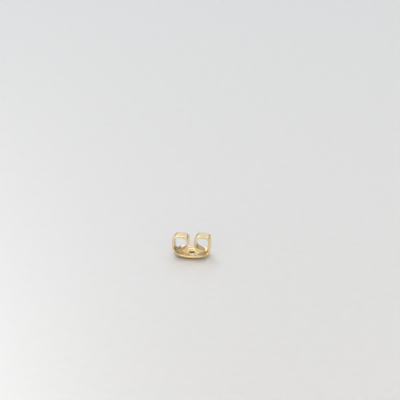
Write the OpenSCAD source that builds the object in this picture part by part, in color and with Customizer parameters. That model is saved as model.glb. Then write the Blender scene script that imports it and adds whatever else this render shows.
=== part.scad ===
// Butterfly earring back: one strip of sheet with an oval plate in its middle,
// rolled at both ends into two scrolls that face each other over the plate.
// X runs along the strip, Y across it, Z up. It stands on the ring under its plate.

/* [Sheet] */
// Thickness of the sheet
sheet_t = 0.3; // [0.26:0.01:0.34]

/* [Plate] */
// Half width of the plate at its middle, front to back
plate_half = 1.9; // [1.7:0.02:2]
// Half length of the oval that the edge of the plate follows
oval_half_l = 3.4; // [3.1:0.1:4]
// Rise of the front and back edges of the plate above its middle
cup_h = 0.25; // [0.1:0.01:0.34]

/* [Arms] */
// Half width of the arms and scrolls
arm_half = 0.77; // [0.65:0.01:0.9]
// Place along the strip where the plate starts to narrow
neck_start = 1.75; // [1.6:0.05:2]
// Place along the strip where the arm has its own width
neck_end = 2.75; // [2.6:0.05:3.1]
// Corner radius at the tips of the scrolls
tip_r = 0.3; // [0.1:0.05:0.4]
// Length of the upright outer wall of the right scroll
right_wall = 1.63; // [1.57:0.01:1.8]
// Length of the upright outer wall of the left scroll
left_wall = 1.43; // [1.36:0.01:1.8]
// Length of the straight tail at the tip of the right scroll
right_tail = 0.88; // [0.6:0.02:0.9]
// Length of the straight tail at the tip of the left scroll
left_tail = 0.34; // [0.3:0.02:0.5]

/* [Post hole and ring] */
// Radius of the post hole
hole_r = 0.45; // [0.4:0.01:0.5]
// Height by which the sheet is pressed up round the hole
dimple_h = 0.05; // [0.03:0.01:0.06]
// Radius of the flat land round the hole
land_r = 0.72; // [0.65:0.01:0.75]
// Radius of the pressed ring
ring_r = 1.06; // [1.02:0.01:1.1]
// Half width of the flat along the middle of the ring
ring_flat = 0.07; // [0.04:0.01:0.09]
// Depth of the pressed ring below the middle of the plate
ring_depth = 0.02; // [0.01:0.01:0.06]
// Height of the underside of the plate above the foot of the ring
foot_h = 0.03; // [0.02:0.01:0.05]

/* [Hidden] */
gold = [0.84, 0.72, 0.45];
$fn = 96;

// Columns of the bend table
BEND_R = 0;    // radius of the bend along the middle of the sheet
BEND_TURN = 1; // degrees turned, towards the inside of the scroll
RUN = 2;       // straight run after the bend
STEP = 3;      // longest stretch of strip between two sections there

// Bends of one half, from the middle of the plate to the tip of its scroll
function bends(wall, tail) = [
    [10.3, 12.5, 0, 0.25],          // half of the plate, rising to its end
    [0.62, 77.5, wall, 0.1],        // heel and upright outer wall
    [0.54, 82.5, 0, 0.1],           // outer shoulder
    [5.4, 11.5, 0, 0.4],            // top of the scroll
    [0.66, 83, 0.68, 0.11],         // inner shoulder and leg
    [0.86, 75, tail - tip_r, 0.13], // foot of the leg and tail
    [1, 0, tip_r, 0.075]            // tip, where the corners are rounded
];

// Columns of a place on the strip
X = 0;     // place of the middle of the sheet, along the plate
Z = 1;     // its height
HEAD = 2;  // degrees between the strip's direction there and +X
ALONG = 3; // length of strip between the middle of the plate and the place

across = 10; // faces across the strip

plate_mid = foot_h + sheet_t / 2;
plate_top = foot_h + sheet_t;
middle = [0, plate_mid, 0, 0];
groove_reach = 0.2; // height over the middle of the plate up to which the ring is cut

// The place reached from p round a bend of radius r
function round_bend(p, r, turn) = [
    p[X] + r * (sin(p[HEAD] + turn) - sin(p[HEAD])),
    p[Z] + r * (cos(p[HEAD]) - cos(p[HEAD] + turn)),
    p[HEAD] + turn,
    p[ALONG] + r * turn * PI / 180
];

// The place reached from p after a straight run
function after_run(p, run) = [
    p[X] + run * cos(p[HEAD]),
    p[Z] + run * sin(p[HEAD]),
    p[HEAD],
    p[ALONG] + run
];

// Places along the strip from p on, through the bends from row i to the last
function places(rows, p, i = 0) =
    i == len(rows) ? [] :
    let (
        r = rows[i][BEND_R],
        turn = rows[i][BEND_TURN],
        run = rows[i][RUN],
        turns = ceil(r * turn * PI / 180 / rows[i][STEP]),
        runs = ceil(run / rows[i][STEP] / (turn > 0 ? 3 : 1)),
        bent = [for (k = [1 : 1 : turns]) round_bend(p, r, turn * k / turns)],
        bend_end = turns > 0 ? bent[turns - 1] : p,
        straight = [for (k = [1 : 1 : runs]) after_run(bend_end, run * k / runs)],
        reached = runs > 0 ? straight[runs - 1] : bend_end
    )
    concat(bent, straight, places(rows, reached, i + 1));

// The same places on the other half, from its tip to the middle
function mirrored(ps) = [
    for (k = [len(ps) - 1 : -1 : 0]) [-ps[k][X], ps[k][Z], -ps[k][HEAD], ps[k][ALONG]]
];

// 0 on the plate, 1 on the arm, smooth between
function neck(along) =
    let (f = min(max((along - neck_start) / (neck_end - neck_start), 0), 1))
    f * f * (3 - 2 * f);

// Half width of the strip, with its corners rounded at the tip of the scroll
function half_width(along, tip) =
    let (
        oval = plate_half * sqrt(max(1 - pow(along / oval_half_l, 2), 0)),
        corner = max(tip_r - (tip - along), 0),
        f = neck(along)
    )
    (1 - f) * oval + f * arm_half - tip_r + sqrt(tip_r * tip_r - corner * corner);

// Points of the section at place p, along its outer face and back along its inner face
function section(p, tip) =
    let (
        w = half_width(p[ALONG], tip),
        cup = cup_h * (1 - neck(p[ALONG])),
        side = [for (k = [0 : across]) w * (2 * k / across - 1)]
    )
    concat(
        [for (k = [0 : across]) face_point(p, side[k], cup, -sheet_t / 2)],
        [for (k = [across : -1 : 0]) face_point(p, side[k], cup, sheet_t / 2)]
    );

// The point at height h off the middle of the cupped sheet, y from the middle of the strip
function face_point(p, y, cup, h) =
    let (off = h + cup * pow(y / plate_half, 2))
    [p[X] - off * sin(p[HEAD]), y, p[Z] + off * cos(p[HEAD])];

// Strip without its hole and ring
module strip() {
    right = places(bends(right_wall, right_tail), middle);
    left = places(bends(left_wall, left_tail), middle);
    right_tip = right[len(right) - 1][ALONG];
    left_tip = left[len(left) - 1][ALONG];
    points = [
        for (p = mirrored(left)) each section(p, left_tip),
        each section(middle, right_tip),
        for (p = right) each section(p, right_tip)
    ];
    n = 2 * (across + 1);
    last = len(points) - n;
    walls = [
        for (a = [0 : n : last - n], k = [0 : n - 1])
            let (next = (k + 1) % n)
            each [[a + k, a + n + k, a + n + next], [a + k, a + n + next, a + next]]
    ];
    ends = [
        for (k = [0 : across - 1])
            each [[k, k + 1, n - 2 - k, n - 1 - k],
                  [last + n - 1 - k, last + n - 2 - k, last + k + 1, last + k]]
    ];
    polyhedron(points, concat(walls, ends), convexity = 12);
}

// Land pressed up round the hole, its side falling one in three
module land() {
    land_foot = land_r + dimple_h * 3;
    rotate_extrude()
        polygon([
            [0, plate_mid],
            [land_foot, plate_mid],
            [land_foot, plate_top],
            [land_r, plate_top + dimple_h],
            [0, plate_top + dimple_h]
        ]);
}

// Hollow pressed up under the land
module land_hollow() {
    rotate_extrude()
        polygon([
            [0, -1],
            [land_r, -1],
            [land_r, foot_h],
            [land_r - dimple_h, foot_h + dimple_h],
            [0, foot_h + dimple_h]
        ]);
}

// Round bar whose section is a flat at the height low, with flanks at 45 degrees up to high
module ring_bar(low, high) {
    rotate_extrude()
        polygon([
            [ring_r - ring_flat, low],
            [ring_r + ring_flat, low],
            [ring_r + ring_flat + high - low, high],
            [ring_r - ring_flat - (high - low), high]
        ]);
}

module butterfly_back() {
    color(gold)
        difference() {
            union() {
                strip();
                land();
                ring_bar(0, plate_mid);
            }
            ring_bar(plate_top - ring_depth, plate_top + groove_reach);
            land_hollow();
            translate([0, 0, -1]) cylinder(r = hole_r, h = 2);
        }
}

butterfly_back();
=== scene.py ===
import math

import bpy
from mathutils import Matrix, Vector, noise


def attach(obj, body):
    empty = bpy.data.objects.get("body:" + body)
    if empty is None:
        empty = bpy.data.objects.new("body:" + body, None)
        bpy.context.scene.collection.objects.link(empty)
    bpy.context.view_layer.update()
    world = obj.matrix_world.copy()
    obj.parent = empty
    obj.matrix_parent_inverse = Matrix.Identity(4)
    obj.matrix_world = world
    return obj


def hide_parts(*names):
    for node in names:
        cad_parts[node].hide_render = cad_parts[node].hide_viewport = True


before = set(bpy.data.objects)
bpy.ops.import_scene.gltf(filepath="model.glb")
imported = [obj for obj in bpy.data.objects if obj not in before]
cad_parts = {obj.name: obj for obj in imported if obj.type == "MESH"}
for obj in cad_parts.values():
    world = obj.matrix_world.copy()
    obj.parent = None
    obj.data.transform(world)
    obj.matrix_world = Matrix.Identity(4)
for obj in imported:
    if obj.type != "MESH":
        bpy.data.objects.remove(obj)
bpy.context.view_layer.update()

# A butterfly earring back: one strip of gold sheet with an oval plate in its middle, rolled at
# both ends into scrolls. The shape is worked out in millimetres and made into a mesh in metres.
MM = 0.001
CAD_NODE = "butterfly_back"

# The strip, as the solid has it.
SHEET_T = 0.3
HALF_T = SHEET_T / 2
PLATE_HALF = 1.9
OVAL_HALF_L = 3.4
CUP_H = 0.25
ARM_HALF = 0.77
NECK_START = 1.75
NECK_END = 2.75
TIP_R = 0.3
WALL = {"right": 1.63, "left": 1.43}
TAIL = {"right": 0.88, "left": 0.34}
SIDE_SIGN = {"right": 1, "left": -1}

# The post hole, the land round it, whose side falls one in LAND_FALL, and the pressed ring.
HOLE_R = 0.45
DIMPLE_H = 0.05
LAND_R = 0.72
LAND_FALL = 3
RING_R = 1.06
RING_FLAT = 0.07
RING_SUNK = 0.06
RING_SPREAD = 0.2
FOOT_H = 0.03
PLATE_MID = FOOT_H + HALF_T
PLATE_TOP = FOOT_H + SHEET_T

# How the sheet is worked: rounding of its edges, of its bends and of what is pressed into it.
EDGE_TOP = 0.08
EDGE_UNDER = 0.07
BEND_EASE = 0.11
PRESS_EASE = 0.035
HOLE_LIP = 0.05

# Curl of the strip's edges where it bends, for each unit of bend up to the most that counts.
CURL = 0.018
CURL_BEND_MOST = 1.6
BEND_REACH = 0.02

# Slight waves of the faces: height, waves for each millimetre, lift that keeps them one-sided.
WAVE = 0.006
WAVE_ALONG = 0.8
WAVE_ACROSS = 0.9
WAVE_START = 3.7
WAVE_LIFT = 1.4

# What the sides of the strip stand back, so that the waves stay inside the solid's box.
TRIM = 0.002

# The mesh along the strip: steps of its centre line, steps from section to section where it runs
# straight and where it turns by more than BENT_FROM for each millimetre a little further on, and
# the least gap before the tip.
LINE_STEP = 0.004
STEP_STRAIGHT = 0.07
STEP_BENT = 0.045
BENT_FROM = 0.3
LOOK_AHEAD = 0.03
STEP_LEAST = 0.02

# Cells beside the patch, round the sheet's edge, on the hole's lip and in the rounded tip.
SIDE_CELLS = 4
EDGE_CELLS = 4
LIP_CELLS = 5
TIP_CELLS = 14

# The square patch round the hole, and the rings of points inside it.
PATCH_HALF = 1.42
PATCH_CELLS = 34
PATCH_RING = 1.32
BLEND_RINGS = 4
RING_STEP = 0.026
TINY = 1e-6

# Points of a section: across one face, and round one edge.
ACROSS = PATCH_CELLS + 2 * SIDE_CELLS + 1
ROUND_EDGE = 2 * EDGE_CELLS


def bends(side):
    """Rows of radius, degrees turned and the straight run after it, from middle to tip."""
    return [
        (10.3, 12.5, 0.0),
        (0.62, 77.5, WALL[side]),
        (0.54, 82.5, 0.0),
        (5.4, 11.5, 0.0),
        (0.66, 83.0, 0.68),
        (0.86, 75.0, TAIL[side]),
    ]


def curvature(side):
    """Turning per millimetre at each step of one half, eased where bends meet."""
    raw = []
    for radius, turn, run in bends(side):
        bend_steps = round(radius * math.radians(turn) / LINE_STEP)
        raw += [math.radians(turn) / (bend_steps * LINE_STEP)] * bend_steps
        raw += [0.0] * round(run / LINE_STEP)
    reach = round(BEND_EASE / LINE_STEP)
    padded = [raw[0]] * reach + raw + [0.0] * reach
    weights = [1 + math.cos(math.pi * k / (reach + 1)) for k in range(-reach, reach + 1)]
    total = sum(weights)
    return [
        sum(w * padded[i + k] for k, w in enumerate(weights)) / total
        for i in range(len(raw))
    ]


def centre_line(side):
    """Places of the sheet's middle along one half: x, z and heading, one each LINE_STEP."""
    x, z, head = 0.0, PLATE_MID, 0.0
    places = [(x, z, head)]
    for turn in curvature(side):
        mean = head + turn * LINE_STEP / 2
        x += LINE_STEP * math.cos(mean)
        z += LINE_STEP * math.sin(mean)
        head += turn * LINE_STEP
        places.append((x, z, head))
    return places


LINES = {side: centre_line(side) for side in WALL}
LENGTH = {side: (len(line) - 1) * LINE_STEP for side, line in LINES.items()}


def side_of(along):
    """The half of the strip that a signed distance from the plate's middle lies on."""
    return "right" if along >= 0 else "left"


def place(along):
    """x, z and heading at a signed distance along the strip from the plate's middle."""
    side = side_of(along)
    line = LINES[side]
    at = min(abs(along) / LINE_STEP, len(line) - 1)
    k = min(int(at), len(line) - 2)
    f = at - k
    x, z, head = (a + f * (b - a) for a, b in zip(line[k], line[k + 1]))
    return SIDE_SIGN[side] * x, z, SIDE_SIGN[side] * head


def smooth_step(low, high, value):
    """0 below low, 1 above high, and smooth between."""
    f = min(max((value - low) / (high - low), 0.0), 1.0)
    return f * f * (3 - 2 * f)


def smooth_max(a, b, ease):
    """The higher of two heights, with the corner where they cross rounded off."""
    f = max(ease - abs(a - b), 0.0) / ease
    return max(a, b) + f * f * ease / 4


def smooth_min(a, b, ease):
    """The lower of two heights, with the corner where they cross rounded off."""
    return -smooth_max(-a, -b, ease)


def neck(along):
    """0 on the plate, 1 on the arms, and smooth between."""
    return smooth_step(NECK_START, NECK_END, abs(along))


def rounded_in(depth, radius):
    """How far a rounded edge stands back at a depth from its outermost line."""
    d = min(max(depth, 0.0), radius)
    return radius - math.sqrt(max(radius * radius - (radius - d) ** 2, 0.0))


def half_width(along):
    """Half width of the strip, with the corners at its tip rounded."""
    oval = PLATE_HALF * math.sqrt(max(1 - (along / OVAL_HALF_L) ** 2, 0.0))
    f = neck(along)
    back = rounded_in(LENGTH[side_of(along)] - abs(along), TIP_R)
    return (1 - f) * oval + f * ARM_HALF - back - TRIM


def bend_at(along):
    """Turning per millimetre of the strip; the plate itself counts as flat."""
    if abs(along) < NECK_START:
        return 0.0
    ahead = place(along + BEND_REACH)[2]
    behind = place(along - BEND_REACH)[2]
    return (ahead - behind) / (2 * BEND_REACH)


def face_height(along, y, top):
    """Height of one face off the middle of the sheet, before ring and land."""
    plate_share = 1 - neck(along)
    cup = CUP_H * plate_share * (y / PLATE_HALF) ** 2
    bend = min(bend_at(along), CURL_BEND_MOST)
    curl = CURL * bend * (y / ARM_HALF) ** 2 * (1 - plate_share)
    spot = Vector((along * WAVE_ALONG, y * WAVE_ACROSS, WAVE_START))
    wave = WAVE * (noise.noise(spot) + WAVE_LIFT)
    return cup + curl + wave + (HALF_T if top else -HALF_T)


def pressed(z, r, top):
    """Height of a point of the plate at distance r from the hole's axis, once pressed."""
    if top:
        land = PLATE_TOP + DIMPLE_H - max(r - LAND_R, 0.0) / LAND_FALL
        z = smooth_max(z, land, PRESS_EASE)
        return z - RING_SUNK * (1 - smooth_step(RING_FLAT / 2, RING_SPREAD, abs(r - RING_R)))
    flank = max(abs(r - RING_R) - RING_FLAT, 0.0)
    z = smooth_min(z, flank, PRESS_EASE)
    hollow = FOOT_H + DIMPLE_H - max(r - LAND_R + DIMPLE_H, 0.0)
    return smooth_max(z, hollow, PRESS_EASE)


def face_point(along, y, top, lift=0.0):
    """A point on one face of the sheet; lift moves it from the face to the sheet's middle."""
    x, z, head = place(along)
    inward = -lift if top else lift
    off = face_height(along, y, top) + inward
    px = x - off * math.sin(head)
    pz = z + off * math.cos(head)
    r = math.hypot(px, y)
    if abs(along) < NECK_START and r < PATCH_RING:
        pz = pressed(pz - inward, r, top) + inward
    return px, y, pz


def edge_insets():
    """Round the sheet's edge from its top face to its underside: inset, depth, above or not."""
    rows = []
    for k in range(1, EDGE_CELLS + 1):
        a = math.pi / 2 * k / EDGE_CELLS
        rows.append((EDGE_TOP * (1 - math.sin(a)), EDGE_TOP * (1 - math.cos(a)), True))
    for k in range(EDGE_CELLS):
        a = math.pi / 2 * k / EDGE_CELLS
        rows.append((EDGE_UNDER * (1 - math.cos(a)), EDGE_UNDER * (1 - math.sin(a)), False))
    return rows


def face_sides(along, edge):
    """The y of each point across one face, with the patch round the hole at fixed places."""
    reach = half_width(along) - edge
    inner_reach = PATCH_HALF
    if abs(along) > PATCH_HALF:
        inner_reach = reach * PATCH_HALF / (half_width(PATCH_HALF) - edge)
    inner = [inner_reach * (2 * k / PATCH_CELLS - 1) for k in range(PATCH_CELLS + 1)]
    rest = reach - inner_reach
    outer = [inner_reach + rest * k / SIDE_CELLS for k in range(1, SIDE_CELLS + 1)]
    return [-y for y in reversed(outer)] + inner + outer


def section(along, thin):
    """Points round the sheet's section: top face, back edge, underside, front edge."""
    top = [face_point(along, y, True, thin) for y in face_sides(along, EDGE_TOP)]
    under = [face_point(along, y, False, thin) for y in face_sides(along, EDGE_UNDER)]
    reach = half_width(along)
    back, front = [], []
    for inset, depth, is_top in edge_insets():
        y = reach - inset
        lift = thin + min(depth, HALF_T - thin)
        back.append(face_point(along, y, is_top, lift))
        front.append(face_point(along, -y, is_top, lift))
    return top + back + under[::-1] + front[::-1]


def half_stations(side):
    """Sections from the side of the patch to one tip: place, and how far each is thinned."""
    sign = SIDE_SIGN[side]
    half = []
    along = PATCH_HALF
    while along < LENGTH[side] - TIP_R - STEP_LEAST:
        half.append((sign * along, 0.0))
        bent = abs(bend_at(sign * (along + LOOK_AHEAD))) > BENT_FROM
        along += STEP_BENT if bent else STEP_STRAIGHT
    for k in range(TIP_CELLS + 1):
        depth = TIP_R * (1 - math.sin(math.pi / 2 * k / TIP_CELLS))
        half.append((sign * (LENGTH[side] - depth), rounded_in(depth, EDGE_UNDER)))
    return half


def stations():
    """All sections along the strip, from the left tip to the right one."""
    step = 2 * PATCH_HALF / PATCH_CELLS
    middle = [(-PATCH_HALF + k * step, 0.0) for k in range(1, PATCH_CELLS)]
    return half_stations("left")[::-1] + middle + half_stations("right")


def in_patch(along, k):
    """Whether the k-th point across a face, at this place, lies inside the open square."""
    return abs(along) < PATCH_HALF - TINY and SIDE_CELLS < k < SIDE_CELLS + PATCH_CELLS


class Mesh:
    """Points and faces being gathered, with the strip's own coordinates of each point."""

    def __init__(self):
        self.points = []
        self.strip = []
        self.faces = []

    def add(self, point, along, across, on_inner):
        """Takes in a point and its place on the strip, and returns its number."""
        self.points.append(point)
        self.strip.append((along, across, 1.0 if on_inner else 0.0))
        return len(self.points) - 1

    def quad(self, a, b, c, d):
        """Takes in a face, unless a corner of it lies in the open square."""
        if None not in (a, b, c, d):
            self.faces.append((a, b, c, d))


def grid_row(mesh, along, thin):
    """The points of one section, with None for those in the open squares."""
    row = []
    for k, point in enumerate(section(along, thin)):
        on_top = k < ACROSS
        on_under = ACROSS + ROUND_EDGE <= k < 2 * ACROSS + ROUND_EDGE
        column = k if on_top else 2 * ACROSS + ROUND_EDGE - 1 - k
        if (on_top or on_under) and in_patch(along, column):
            row.append(None)
        else:
            row.append(mesh.add(point, along, point[1], on_top))
    return row


def strip_grid(mesh, places):
    """All sections joined up, with a square left open round the hole on both faces."""
    rows = [grid_row(mesh, along, thin) for along, thin in places]
    n = len(rows[0])
    for a, b in zip(rows, rows[1:]):
        for k in range(n):
            nxt = (k + 1) % n
            mesh.quad(a[k], b[k], b[nxt], a[nxt])
    return rows


def cap(mesh, row, forward):
    """The flat face at a tip of the strip; its corners run forward at the left tip."""
    top = row[:ACROSS]
    back = row[ACROSS:ACROSS + ROUND_EDGE]
    under = row[ACROSS + ROUND_EDGE:2 * ACROSS + ROUND_EDGE][::-1]
    front = row[2 * ACROSS + ROUND_EDGE:]
    faces = [(top[k], top[k + 1], under[k + 1], under[k]) for k in range(ACROSS - 1)]
    faces.append((under[0], *front, top[0]))
    faces.append((top[-1], *back, under[-1]))
    for face in faces:
        mesh.faces.append(face if forward else face[::-1])


def square_loop(first, last):
    """Rows and columns of the points round the open square, clockwise from above."""
    low, high = SIDE_CELLS, SIDE_CELLS + PATCH_CELLS
    count = high - low
    loop = [(first, low + k) for k in range(count)]
    loop += [(first + k, high) for k in range(count)]
    loop += [(last, high - k) for k in range(count)]
    loop += [(last - k, low) for k in range(count)]
    return loop


def ring_radii():
    """Radii of the rings of points from the patch's outermost ring to the hole's lip."""
    inner = HOLE_R + HOLE_LIP
    steps = round((PATCH_RING - inner) / RING_STEP)
    return [PATCH_RING + (inner - PATCH_RING) * k / steps for k in range(steps + 1)]


def join_rings(mesh, a, b, top):
    """Faces between two rings of points."""
    n = len(a)
    for k in range(n):
        nxt = (k + 1) % n
        if top:
            mesh.quad(a[k], b[k], b[nxt], a[nxt])
        else:
            mesh.quad(a[k], a[nxt], b[nxt], b[k])


def patch_spots(corners, angles):
    """Places of the points of each ring, from inside the open square to the hole's lip."""
    for j in range(1, BLEND_RINGS):
        f = j / BLEND_RINGS
        yield [
            (s + f * (PATCH_RING * math.cos(a) - s), t + f * (PATCH_RING * math.sin(a) - t))
            for (s, t), a in zip(corners, angles)
        ]
    for r in ring_radii():
        yield [(r * math.cos(a), r * math.sin(a)) for a in angles]


def face_patch(mesh, loop, top):
    """Rings of points from the open square in to the hole; returns the last and its angles."""
    corners = [mesh.strip[v][:2] for v in loop]
    angles = [math.atan2(t, s) for s, t in corners]
    ring = loop
    for spots in patch_spots(corners, angles):
        nxt = [mesh.add(face_point(s, t, top), s, t, top) for s, t in spots]
        join_rings(mesh, ring, nxt, top)
        ring = nxt
    return ring, angles


def lip_ring(mesh, angles, k, top):
    """One ring of the rounded lip of the hole."""
    a = math.pi / 2 * k / LIP_CELLS
    r = HOLE_R + HOLE_LIP * (1 - math.sin(a))
    drop = HOLE_LIP * (1 - math.cos(a))
    ring = []
    for angle in angles:
        s, t = r * math.cos(angle), r * math.sin(angle)
        x, y, z = face_point(s, t, top)
        z += -drop if top else drop
        ring.append(mesh.add((x, y, z), s, t, top))
    return ring


def post_hole(mesh, rows, first):
    """Both faces round the hole, its rounded lips and the wall between them."""
    spots = square_loop(first, first + PATCH_CELLS)
    top_loop = [rows[i][k] for i, k in spots]
    under_loop = [rows[i][2 * ACROSS + ROUND_EDGE - 1 - k] for i, k in spots]
    top_ring, angles = face_patch(mesh, top_loop, True)
    under_ring, under_angles = face_patch(mesh, under_loop, False)
    for k in range(1, LIP_CELLS + 1):
        nxt = lip_ring(mesh, angles, k, True)
        join_rings(mesh, top_ring, nxt, True)
        top_ring = nxt
        nxt = lip_ring(mesh, under_angles, k, False)
        join_rings(mesh, under_ring, nxt, False)
        under_ring = nxt
    join_rings(mesh, top_ring, under_ring, True)


def closed_mesh():
    """Points and faces of the whole back."""
    mesh = Mesh()
    places = stations()
    rows = strip_grid(mesh, places)
    cap(mesh, rows[0], True)
    cap(mesh, rows[-1], False)
    first = [along for along, thin in places].index(-PATCH_HALF)
    post_hole(mesh, rows, first)
    return mesh


def butterfly_back():
    """The back as one object in metres, with its place on the strip kept for the material."""
    mesh = closed_mesh()
    data = bpy.data.meshes.new("butterfly")
    data.from_pydata([Vector(p) * MM for p in mesh.points], [], mesh.faces)
    data.validate()
    data.update()
    strip = data.attributes.new("strip", "FLOAT_VECTOR", "POINT")
    for k, (along, across, inner) in enumerate(mesh.strip):
        strip.data[k].vector = (along * MM, across * MM, inner)
    for face in data.polygons:
        face.use_smooth = True
    obj = bpy.data.objects.new("butterfly", data)
    bpy.context.collection.objects.link(obj)
    return obj


# Gold: colours from dull to clean, and the brown painted shade over them.
GOLD_TONES = [
    (0.30, (0.86, 0.68, 0.39)),
    (0.52, (0.91, 0.74, 0.45)),
    (0.72, (0.94, 0.79, 0.51)),
]
# Dark brown laid over the gold as painted shade where the heels and tails lie in shade.
PAINTED_SHADE_TONE = (0.40, 0.25, 0.10, 1.0)

# Place along the strip, in millimetres, and share of brown painted shade on its inner face there.
PAINTED_SHADE_ALONG = [
    (-9.6, 0.40), (-8.3, 0.60), (-7.6, 0.25), (-7.0, 0.0), (-4.8, 0.0), (-4.2, 0.30),
    (-3.5, 0.60), (-2.7, 0.90), (-2.2, 1.0), (-1.6, 0.70), (-1.2, 0.10), (-0.9, 0.0),
    (0.95, 0.0), (1.35, 0.30), (1.85, 0.45), (2.4, 0.55), (2.9, 0.60), (3.4, 0.45), (4.0, 0.0),
    (7.8, 0.0), (8.6, 0.65), (9.4, 0.85), (10.3, 0.75),
]
PAINTED_SHADE_REACH = 11.0

# Distance from the strip's middle over which the painted shade thins out, and what is left of it.
PAINTED_SHADE_SIDES = (0.95, 1.50)
PAINTED_SHADE_LEFT = 0.1

# Cloudiness of the gold over which the painted shade thickens, and its least share.
PAINTED_SHADE_CLOUDS = (0.2, 0.6)
PAINTED_SHADE_LEAST = 0.6

# Roughness of the gold, from its clearest spots to its haziest.
GOLD_GLOSS = [(0.35, (0.14,) * 3), (0.52, (0.20,) * 3), (0.70, (0.31,) * 3)]

# The gold's features as noise: waves for each metre, detail and roughness of the noise.
CLOUDS = (900.0, 4.0, 0.5)
DENTS = (1500.0, 2.0, 0.5)
SCRATCHED = (1100.0, 2.0, 0.5)

# The same, with waves of their own along each axis.
ROLLED = ((600.0, 16000.0, 1.0), 3.0, 0.6)
HAZE = ((5200.0, 5200.0, 5200.0), 5.0, 0.62)
SCRATCH = ((500.0, 26000.0, 26000.0), 1.0, 0.5)

# Strength and depth, in metres, of what stands out of the gold or is cut into it.
DENTS_RELIEF = (0.10, 0.02 * MM)
HAZE_RELIEF = (0.10, 0.004 * MM)
SCRATCH_RELIEF = (0.22, 0.006 * MM)

# Turn and shift of each set of hair scratches.
SCRATCH_TURNS = [
    ((0.35, 0.25, 0.5), (0.0, 0.0, 0.0)),
    ((-0.55, 0.95, -0.7), (0.013, 0.004, 0.002)),
    ((0.2, -0.65, 1.5), (0.002, 0.017, 0.008)),
]

# Where the noise is a scratch, and where it lets scratches show.
BLACK = (0.0, 0.0, 0.0)
WHITE = (1.0, 1.0, 1.0)
SCRATCH_LINE = [(0.640, BLACK), (0.670, WHITE), (0.700, BLACK)]
SCRATCH_AREA = [(0.46, BLACK), (0.58, WHITE)]

# The board that the back lies on.
FLOOR_HALF = 0.6
FLOOR_METALLIC = 0.2
FLOOR_GRAIN = (700.0, 4.0, 0.5)
FLOOR_RELIEF = (0.05, 0.05 * MM)
FLOOR_TONES = [(0.3, (0.794, 0.802, 0.818)), (0.7, (0.814, 0.822, 0.838))]
FLOOR_GLOSS = [(0.3, (0.32,) * 3), (0.7, (0.38,) * 3)]


def new_material(name):
    """A material, its node tree and its Principled shader."""
    material = bpy.data.materials.new(name)
    material.use_nodes = True
    tree = material.node_tree
    return material, tree, tree.nodes["Principled BSDF"]


def node(tree, kind, **values):
    """A node with its properties set; a name that is no property is one of its inputs."""
    made = tree.nodes.new("ShaderNode" + kind)
    for key, value in values.items():
        if key in made.bl_rna.properties:
            setattr(made, key, value)
        else:
            made.inputs[key].default_value = value
    return made


def ramp(tree, source, stops):
    """A colour ramp with the stops given as place and colour."""
    made = tree.nodes.new("ShaderNodeValToRGB")
    elements = made.color_ramp.elements
    while len(elements) < len(stops):
        elements.new(0.5)
    for element, (at, colour) in zip(elements, stops):
        element.position = at
        element.color = (*colour, 1.0)
    tree.links.new(source, made.inputs["Fac"])
    return made.outputs["Color"]


def even_noise(tree, source, scale, detail, rough):
    """Cloudy noise over the coordinates."""
    made = node(tree, "TexNoise", Scale=scale, Detail=detail, Roughness=rough)
    tree.links.new(source, made.inputs["Vector"])
    return made.outputs["Fac"]


def stretched_noise(tree, source, scales, detail, rough):
    """The same with a scale of its own along each axis."""
    made = node(tree, "VectorMath", operation="MULTIPLY")
    made.inputs[1].default_value = scales
    tree.links.new(source, made.inputs[0])
    return even_noise(tree, made.outputs["Vector"], 1.0, detail, rough)


def product(tree, a, b):
    """Two values multiplied."""
    made = node(tree, "Math", operation="MULTIPLY")
    tree.links.new(a, made.inputs[0])
    tree.links.new(b, made.inputs[1])
    return made.outputs["Value"]


def remapped(tree, source, low, high, to_low, to_high):
    """A value carried from one range to another, and held at the ends."""
    made = node(tree, "MapRange")
    made.inputs["From Min"].default_value = low
    made.inputs["From Max"].default_value = high
    made.inputs["To Min"].default_value = to_low
    made.inputs["To Max"].default_value = to_high
    tree.links.new(source, made.inputs["Value"])
    return made.outputs["Result"]


def bump(tree, height, relief, under=None, invert=False):
    """A normal that follows a height, on top of another normal where one is given."""
    strength, distance = relief
    made = node(tree, "Bump", Strength=strength, Distance=distance, invert=invert)
    tree.links.new(height, made.inputs["Height"])
    if under:
        tree.links.new(under, made.inputs["Normal"])
    return made.outputs["Normal"]


def scratches(tree, spot, turn, shift):
    """Hair-fine lines that run one way, here and there: 1 on a line, 0 elsewhere."""
    aim = node(tree, "Mapping", vector_type="POINT", Rotation=turn, Location=shift)
    tree.links.new(spot, aim.inputs["Vector"])
    aimed = aim.outputs["Vector"]
    lines = stretched_noise(tree, aimed, *SCRATCH)
    areas = even_noise(tree, aimed, *SCRATCHED)
    return product(tree, ramp(tree, lines, SCRATCH_LINE), ramp(tree, areas, SCRATCH_AREA))


def painted_shade_share(tree, strip, clouds):
    """Share of painted brown shade inside the heels and on the tails, standing in for the shade
    that falls there.
    """
    apart = node(tree, "SeparateXYZ")
    tree.links.new(strip, apart.inputs["Vector"])
    reach = PAINTED_SHADE_REACH * MM
    along = remapped(tree, apart.outputs["X"], -reach, reach, 0.0, 1.0)
    stops = [(0.5 + at / PAINTED_SHADE_REACH / 2, (share,) * 3) for at, share in PAINTED_SHADE_ALONG]
    on_inner = product(tree, ramp(tree, along, stops), apart.outputs["Z"])
    patchy = remapped(tree, clouds, *PAINTED_SHADE_CLOUDS, PAINTED_SHADE_LEAST, 1.0)
    aside = node(tree, "Math", operation="ABSOLUTE")
    tree.links.new(apart.outputs["Y"], aside.inputs[0])
    low, high = PAINTED_SHADE_SIDES
    # The painted shade thins out towards the strip's sides.
    shade_fade_at_sides = remapped(tree, aside.outputs["Value"], low * MM, high * MM, 1.0, PAINTED_SHADE_LEFT)
    return product(tree, product(tree, on_inner, patchy), shade_fade_at_sides)


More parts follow.
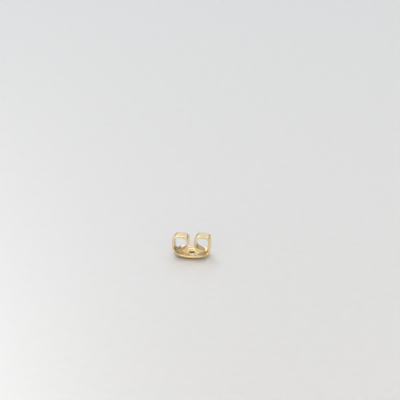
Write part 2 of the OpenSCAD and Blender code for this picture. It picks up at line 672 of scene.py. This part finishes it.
def gold_colour(tree, strip, clouds):
    """Clean gold in clouds of slightly different tone, under painted brown shade."""
    made = node(tree, "Mix", data_type="RGBA")
    share, clean, painted_shade_slot = (s for s in made.inputs if s.enabled)
    # Painted brown shade is mixed over the clean gold here.
    tree.links.new(painted_shade_share(tree, strip, clouds), share)
    tree.links.new(ramp(tree, clouds, GOLD_TONES), clean)
    painted_shade_slot.default_value = PAINTED_SHADE_TONE
    return next(s for s in made.outputs if s.enabled)


def gold_haze(tree, spot, strip):
    """Rolling lines that follow the strip, evenly mixed with fine cloudiness."""
    made = node(tree, "Mix", data_type="FLOAT", Factor=0.5)
    tree.links.new(stretched_noise(tree, strip, *ROLLED), made.inputs["A"])
    tree.links.new(stretched_noise(tree, spot, *HAZE), made.inputs["B"])
    return made.outputs["Result"]


def gold_surface(tree, spot, haze):
    """Shallow dents, the relief of the haze, and hair scratches cut into it."""
    normal = bump(tree, even_noise(tree, spot, *DENTS), DENTS_RELIEF)
    normal = bump(tree, haze, HAZE_RELIEF, under=normal)
    for turn, shift in SCRATCH_TURNS:
        cut = scratches(tree, spot, turn, shift)
        normal = bump(tree, cut, SCRATCH_RELIEF, under=normal, invert=True)
    return normal


def gold_material():
    """Polished yellow gold sheet with rolling lines, haze, hair scratches and painted brown
    shade.
    """
    material, tree, shader = new_material("gold")
    spot = node(tree, "TexCoord").outputs["Object"]
    strip = node(tree, "Attribute", attribute_name="strip").outputs["Vector"]
    clouds = even_noise(tree, spot, *CLOUDS)
    haze = gold_haze(tree, spot, strip)
    shader.inputs["Metallic"].default_value = 1.0
    tree.links.new(gold_colour(tree, strip, clouds), shader.inputs["Base Color"])
    tree.links.new(ramp(tree, haze, GOLD_GLOSS), shader.inputs["Roughness"])
    tree.links.new(gold_surface(tree, spot, haze), shader.inputs["Normal"])
    return material


def floor_material():
    """Pale board with a trace of gloss and fine grain."""
    material, tree, shader = new_material("floor")
    spot = node(tree, "TexCoord").outputs["Object"]
    grain = even_noise(tree, spot, *FLOOR_GRAIN)
    shader.inputs["Metallic"].default_value = FLOOR_METALLIC
    tree.links.new(ramp(tree, grain, FLOOR_TONES), shader.inputs["Base Color"])
    tree.links.new(ramp(tree, grain, FLOOR_GLOSS), shader.inputs["Roughness"])
    tree.links.new(bump(tree, grain, FLOOR_RELIEF), shader.inputs["Normal"])
    return material


def make_floor():
    """The board, level with the foot of the ring."""
    half = FLOOR_HALF
    data = bpy.data.meshes.new("floor")
    corners = [(-half, -half, 0), (half, -half, 0), (half, half, 0), (-half, half, 0)]
    data.from_pydata(corners, [], [(0, 1, 2, 3)])
    data.update()
    data.materials.append(floor_material())
    floor = bpy.data.objects.new("floor", data)
    bpy.context.collection.objects.link(floor)


# Soft boxes: name, azimuth (0 in front, 90 at +X), elevation, degrees wide and high, radiance.
# Those behind and above are cool, and those in front are warm.
COOL_LAMPS = [
    ("back_left_low", 214.0, 38.0, 24.0, 18.0, 2.60),
    ("back_left", 216.0, 56.0, 24.0, 22.0, 2.20),
    ("back_right", 144.0, 42.0, 30.0, 30.0, 0.95),
    ("back_middle", 168.0, 54.0, 20.0, 22.0, 1.60),
    ("back_wall", 190.0, 27.0, 70.0, 14.0, 0.48),
    ("top", 0.0, 88.0, 36.0, 36.0, 0.75),
]
WARM_LAMPS = [
    ("front_top", 350.0, 50.0, 50.0, 30.0, 0.50),
    ("front_right", 45.0, 28.0, 32.0, 32.0, 0.95),
    ("front_low", 10.0, 12.0, 30.0, 18.0, 1.50),
    ("front_left_low", 337.0, 11.0, 30.0, 18.0, 2.90),
]
COOL = (0.965, 0.985, 1.00)
WARM = (1.00, 0.76, 0.45)
LAMP_DISTANCE = 0.45
SKY_COLOUR = (0.98, 0.99, 1.0, 1.0)
SKY_STRENGTH = 0.45


def lamp_side(degrees):
    """Length of a lamp's side that covers so many degrees from where the back lies."""
    return 2 * LAMP_DISTANCE * math.tan(math.radians(degrees / 2))


def make_lamp(name, azimuth, elevation, wide, high, radiance, tint):
    """One soft box, turned towards the back."""
    lamp = bpy.data.lights.new(name, "AREA")
    lamp.color = tint
    lamp.shape = "RECTANGLE"
    lamp.size = lamp_side(wide)
    lamp.size_y = lamp_side(high)
    lamp.energy = radiance * math.pi * lamp.size * lamp.size_y
    a, e = math.radians(azimuth), math.radians(elevation)
    way = Vector((math.cos(e) * math.sin(a), -math.cos(e) * math.cos(a), math.sin(e)))
    obj = bpy.data.objects.new(name, lamp)
    bpy.context.collection.objects.link(obj)
    obj.location = way * LAMP_DISTANCE
    obj.rotation_euler = way.to_track_quat("Z", "Y").to_euler()


def make_world():
    """Plain pale light from all round."""
    world = bpy.data.worlds.new("studio")
    world.use_nodes = True
    shade = world.node_tree.nodes["Background"]
    shade.inputs["Color"].default_value = SKY_COLOUR
    shade.inputs["Strength"].default_value = SKY_STRENGTH
    bpy.context.scene.world = world


# The camera looks down by PITCH, from a side turned by TURN about the hole's axis; the axis meets
# the board at AXIS_PX in a picture of PHOTO_PX square.
PITCH = 24.5
TURN = 9.8
PX_PER_MM = 6.67
PHOTO_PX = 400
AXIS_PX = (191.9, 254.26)
CAMERA_DISTANCE = 0.30
SENSOR_WIDTH = 36
CLIP_START = 0.01


def make_camera():
    """The camera that sees the back as it was photographed."""
    p, a = math.radians(PITCH), math.radians(TURN)
    right = Vector((math.cos(a), math.sin(a), 0))
    away = Vector((-math.sin(a), math.cos(a), 0))
    up = Vector((0, 0, 1))
    aside = (PHOTO_PX / 2 - AXIS_PX[0]) / PX_PER_MM * MM
    above = (AXIS_PX[1] - PHOTO_PX / 2) / PX_PER_MM * MM
    target = right * aside + (away * math.sin(p) + up * math.cos(p)) * above
    data = bpy.data.cameras.new("camera")
    data.sensor_width = SENSOR_WIDTH
    data.lens = SENSOR_WIDTH * CAMERA_DISTANCE / (PHOTO_PX / PX_PER_MM * MM)
    data.clip_start = CLIP_START
    camera = bpy.data.objects.new("camera", data)
    bpy.context.collection.objects.link(camera)
    camera.location = target + (up * math.sin(p) - away * math.cos(p)) * CAMERA_DISTANCE
    camera.rotation_euler = (math.pi / 2 - p, 0, a)
    bpy.context.scene.camera = camera


def main():
    """The back in place of its solid, the board under it, the light and the camera."""
    piece = butterfly_back()
    piece.data.materials.append(gold_material())
    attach(piece, "root")
    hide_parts(CAD_NODE)
    make_floor()
    make_world()
    for row in COOL_LAMPS:
        make_lamp(*row, COOL)
    for row in WARM_LAMPS:
        make_lamp(*row, WARM)
    make_camera()
    bpy.context.scene.view_settings.view_transform = "Standard"


main()
